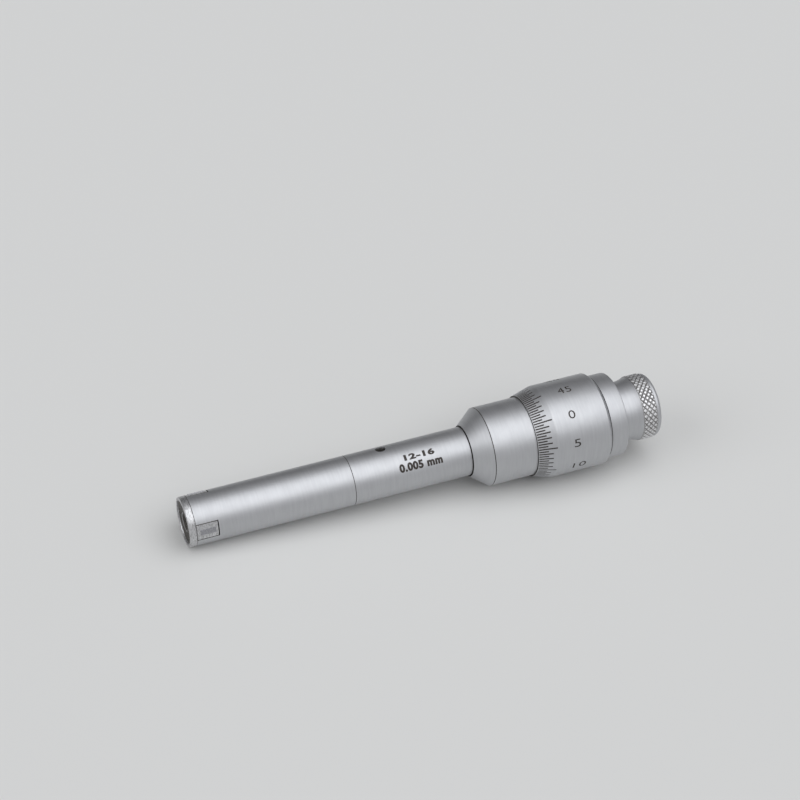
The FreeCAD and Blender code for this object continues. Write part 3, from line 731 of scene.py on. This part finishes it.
# %% Ratchet knob, turned
KNOB_FRONT = 105.45
KNOB_REAR = 115.40
NECK_RADIUS = 7.10
KNURLS = 34
BAND = (110.55, 114.15)
ROWS = 3
row_places = [BAND[0] + (BAND[1] - BAND[0]) * row / ROWS for row in range(ROWS + 1)]
knob = turned("knob_shell", [
    (KNOB_FRONT, 5.85), (KNOB_FRONT, NECK_RADIUS, 0.2), (109.0, NECK_RADIUS, 1.3),
    *[(place, KNURL_FLOOR) for place in row_places],
    (KNOB_REAR, KNURL_FLOOR, 0.95), (KNOB_REAR, 3.20, 0.1), (113.85, 3.20),
    (113.85, 2.05), (112.45, 2.05), (112.45, 5.85),
], steps=KNURLS)
knob.data.materials.append(satin_chrome)
for angle in (0.0, 120.0, 240.0):
    bpy.ops.object.select_all(action="DESELECT")
    bpy.ops.mesh.primitive_cube_add(
        size=1, location=around(107.375, 6.0, angle), rotation=(math.radians(angle), 0, 0),
        scale=(4.75, 1.6, 0.6))
    take_away(knob, bpy.context.object)


# %% [markdown]
# Knurling wheels press two sets of crossing grooves into the band and leave pointed diamonds
# between them. The same lattice comes out of square faces in two steps: Poke puts a point in
# the middle of each, and dissolving the old edges leaves diamonds. Each diamond is then inset
# and raised on its own.

# %% Ratchet knob, knurled
def in_band(face):
    return BAND[0] < face.center.x < BAND[1] and abs(radius_of(face.center) - KNURL_FLOOR) < 0.05


def is_old_edge(edge):
    """True for an inner edge of the poked squares, which joins two corners of the old grid."""
    ends = [knob.data.vertices[index].co for index in edge.vertices]
    if any(abs(radius_of(end) - KNURL_FLOOR) > 0.004 for end in ends):
        return False
    if any(min(abs(end.x - place) for place in row_places) > 0.01 for end in ends):
        return False
    if max(end.x for end in ends) - min(end.x for end in ends) > 0.1:
        return True
    return BAND[0] + 0.1 < ends[0].x < BAND[1] - 0.1


pick(knob, "FACE", in_band)
bpy.ops.mesh.poke()
dissolved = pick(knob, "EDGE", is_old_edge)
bpy.ops.mesh.dissolve_edges(use_verts=False)
diamonds = pick(knob, "FACE", lambda face: in_band(face) and len(face.vertices) == 4)
bpy.ops.mesh.inset(thickness=0.27, depth=0.18, use_individual=True)
halves = pick(knob, "FACE", lambda face: in_band(face) and len(face.vertices) == 3)
bpy.ops.mesh.inset(thickness=0.15, depth=0.10, use_individual=True)
bpy.ops.object.mode_set(mode="OBJECT")
# the knurl band gets the finish with painted shade in its grooves
paint(knob, bright_knurl, lambda face: (
    BAND[0] < face.center.x < BAND[1] and radius_of(face.center) > KNURL_FLOOR - 0.08))
print("knurl:", dissolved, "edges dissolved,", diamonds, "diamonds,", halves, "half diamonds")
lay_down(knob, "knob_set", ["ratchet_knob"], sharp=28)


# %% [markdown]
# Words and numbers are Blender text. It is made a mesh at the wanted size, cut across in
# narrow strips so that it can bend, and pressed onto its carrier by a Shrinkwrap modifier
# that projects straight down. Solidify then gives it a little depth, like paint that stands
# in an engraving. The letters read along the axis, with their tops towards smaller angles.

# %% Letter a piece
def lettered(words, carrier, place, angle, radius, length, height, weight=0.008):
    """A painted word on a turned carrier, given by its middle, its length and its height."""
    bpy.ops.object.select_all(action="DESELECT")
    bpy.ops.object.text_add(location=(0, 0, 0))
    text = bpy.context.object
    text.data.body = words
    text.data.offset = weight
    text.data.space_character = 1.1
    text.data.resolution_u = 5
    bpy.ops.object.convert(target="MESH")
    text = bpy.context.object
    bpy.ops.object.origin_set(type="ORIGIN_GEOMETRY", center="BOUNDS")
    text.location = (0, 0, 0)
    text.scale = (length / text.dimensions.x, height / text.dimensions.y, 1)
    bpy.ops.object.transform_apply(location=True, rotation=True, scale=True)
    bpy.ops.object.mode_set(mode="EDIT")
    strips = math.ceil(height / 0.22)
    for strip in range(1, strips):
        level = height * (strip / strips - 0.5)
        bpy.ops.mesh.select_all(action="SELECT")
        bpy.ops.mesh.bisect(plane_co=(0, level, 0), plane_no=(0, 1, 0))
    bpy.ops.object.mode_set(mode="OBJECT")
    text.location = around(place, radius + 1.0, angle)
    text.rotation_euler = (math.radians(angle), 0, 0)
    press = text.modifiers.new("press", "SHRINKWRAP")
    press.wrap_method = "PROJECT"
    press.target = carrier
    press.use_project_z = True
    press.use_positive_direction = False
    press.use_negative_direction = True
    press.offset = 0.012
    thicken = text.modifiers.new("thicken", "SOLIDIFY")
    thicken.thickness = 0.04
    thicken.offset = -1
    bpy.ops.object.modifier_apply(modifier="press")
    bpy.ops.object.modifier_apply(modifier="thicken")
    bpy.ops.object.transform_apply(location=True, rotation=True, scale=True)
    text.data.materials.clear()
    text.data.materials.append(engraved_paint)
    return text


def joined(name, texts):
    """One piece out of several words."""
    only(texts[0])
    for text in texts[1:]:
        text.select_set(True)
    if len(texts) > 1:
        bpy.ops.object.join()
    texts[0].name = texts[0].data.name = name
    return texts[0]


# %% [markdown]
# The thimble's numbers stand behind its bevel, one for each long mark, every fifth number of
# the fifty in a turn. They all start at the same ring, so the single figures end earlier.

# %% Numbers on the thimble
NUMBER_START = 91.05
DIGIT_LENGTH = 1.65
numbers = []
for number in range(0, 50, 5):
    length = DIGIT_LENGTH * len(str(number))
    numbers.append(lettered(
        str(number), thimble, NUMBER_START + length / 2, SCALE_ZERO + 2 * MARK_PITCH * number,
        THIMBLE_RADIUS, length, 1.95, weight=0.0))
thimble_numbers = joined("thimble_numbers", numbers)

# %% [markdown]
# The sleeve has three numbers beside its long marks. The tube carries the measuring range in
# wide letters, and below it the value of one small division. The words on the tube are
# pressed onto a straight copy of it, which is deleted afterwards.

# %% Numbers on the sleeve and the tube
sleeve_numbers = joined("sleeve_numbers", [
    lettered(str(size), sleeve, mark_places[size], INDEX_ANGLE - 18.0, SLEEVE_RADIUS, 1.35, 1.1)
    for size in (12, 14, 16)])
only(stem)
bpy.ops.object.duplicate()
straight_stem = bpy.context.object
straight_stem.matrix_world = laid.inverted()
bpy.ops.object.transform_apply(location=True, rotation=True, scale=True)
stem_words = joined("stem_words", [
    lettered("12-16", straight_stem, 55.45, 24.25, HEAD_RADIUS, 7.4, 1.5, weight=0.052),
    lettered("0.005 mm", straight_stem, 55.3, 46.6, HEAD_RADIUS, 10.5, 2.0, weight=0.055)])
bpy.data.objects.remove(straight_stem)

# %% [markdown]
# With the words pressed on, the sleeve and the thimble can be laid down too, and the words
# with them.

# %% Lay down the scales
lay_down(sleeve, "frame", ["graduated_sleeve"])
lay_down(thimble, "thimble_set", ["thimble"])
lay_down(sleeve_numbers, "frame")
lay_down(stem_words, "frame")
lay_down(thimble_numbers, "thimble_set")

# %% [markdown]
# The floor is a plain pale sheet. It belongs to the stage, not to the instrument.

# %% Floor
bpy.ops.object.select_all(action="DESELECT")
FLOOR_SIZE = 60
bpy.ops.mesh.primitive_plane_add(size=FLOOR_SIZE, location=(0, 0, 0))
floor = bpy.context.object
floor.name = floor.data.name = "floor"
floor_finish = bpy.data.materials.new("pale_floor")
floor_finish.use_nodes = True
floor_shader = floor_finish.node_tree.nodes["Principled BSDF"]
floor_shader.inputs["Base Color"].default_value = (0.66, 0.66, 0.65, 1)
floor_shader.inputs["Roughness"].default_value = 0.85
floor_shader.inputs["Specular IOR Level"].default_value = 0.2
floor.data.materials.append(floor_finish)

# %% [markdown]
# Metal shows what surrounds it, so the surroundings are part of its look. The room is a soft
# grey that is brightest above and in front of the instrument and falls off behind it, which
# leaves the far edges of the tubes darker. A dot product measures how far each direction
# leans towards the bright side, and a colour ramp turns that into light.

# %% World
world = bpy.data.worlds.new("soft_room")
bpy.context.scene.world = world
world.use_nodes = True
world_nodes = world.node_tree.nodes
world_links = world.node_tree.links
direction = world_nodes.new("ShaderNodeTexCoord")
lean = world_nodes.new("ShaderNodeVectorMath")
lean.operation = "DOT_PRODUCT"
lean.inputs[1].default_value = Vector((0.05, -0.60, 0.80)).normalized()
spread = world_nodes.new("ShaderNodeMapRange")
spread.inputs["From Min"].default_value = -1.0
sky = world_nodes.new("ShaderNodeValToRGB")
for element, (position, grey) in zip(
        [*sky.color_ramp.elements, sky.color_ramp.elements.new(0.7)],
        [(0.30, 0.08), (0.70, 0.36), (1.0, 0.60)]):
    element.position = position
    element.color = (grey, grey, grey * 1.02, 1)
world_links.new(direction.outputs["Generated"], lean.inputs[0])
world_links.new(lean.outputs["Value"], spread.inputs["Value"])
world_links.new(spread.outputs["Result"], sky.inputs["Fac"])
world_links.new(sky.outputs["Color"], world_nodes["Background"].inputs["Color"])
world_nodes["Background"].inputs["Strength"].default_value = 1.0


# %% [markdown]
# Two large soft lamps light the floor. The one above gives the tubes one long quiet
# highlight, and the one on the left is mirrored by the nose cone and the bevels. Each is a
# Sun with a wide angle: it is as soft as a studio box, and since it has no distance, the
# floor is equally pale from here to the horizon.

# %% Lamps
def soft_lamp(name, direction, width, power, color):
    """A wide, distant lamp that shines from a direction. Its width is an angle in degrees."""
    way = Vector(direction).normalized()
    bpy.ops.object.select_all(action="DESELECT")
    bpy.ops.object.light_add(type="SUN", location=way)
    lamp = bpy.context.object
    lamp.name = lamp.data.name = name
    lamp.data.angle = math.radians(width)
    lamp.data.energy = power
    lamp.data.color = color
    lamp.rotation_euler = way.to_track_quat("Z", "Y").to_euler()


soft_lamp("overhead_softbox", (0.22, -0.27, 0.93), 72, 1.45, (0.96, 0.98, 1.0))
soft_lamp("left_softbox", (-0.84, -0.10, 0.54), 40, 0.7, (0.97, 0.985, 1.0))

# %% [markdown]
# The camera stands where the photograph was taken from: about a third of a metre above and in
# front of the instrument, a little to the left, with a long lens. Its place and directions
# were measured against the straight drawing, so the same laying matrix carries them over.

# %% Camera
eye = Vector((-72.9, -302.9, 333.4))
right = Vector((0.93393, -0.35654, 0.02557))
down = Vector((-0.22878, -0.65117, -0.72363))
ahead = Vector((0.27466, 0.66997, -0.68972))
turn_down = laid.to_3x3().normalized()
facing = Matrix((turn_down @ right, turn_down @ -down, turn_down @ -ahead)).transposed()
bpy.ops.object.camera_add(location=laid @ eye, rotation=facing.to_euler())
camera = bpy.context.object
LENS = 91.24
camera.data.lens = LENS
camera.data.sensor_width = 36
camera.data.clip_start = 0.01
camera.data.clip_end = 20
bpy.context.scene.camera = camera
bpy.context.scene.view_settings.view_transform = "Standard"
print("camera at", tuple(round(number, 4) for number in camera.location))

# %% [markdown]
# The last step brings the scene up to date.

# %% Finish
bpy.context.view_layer.update()
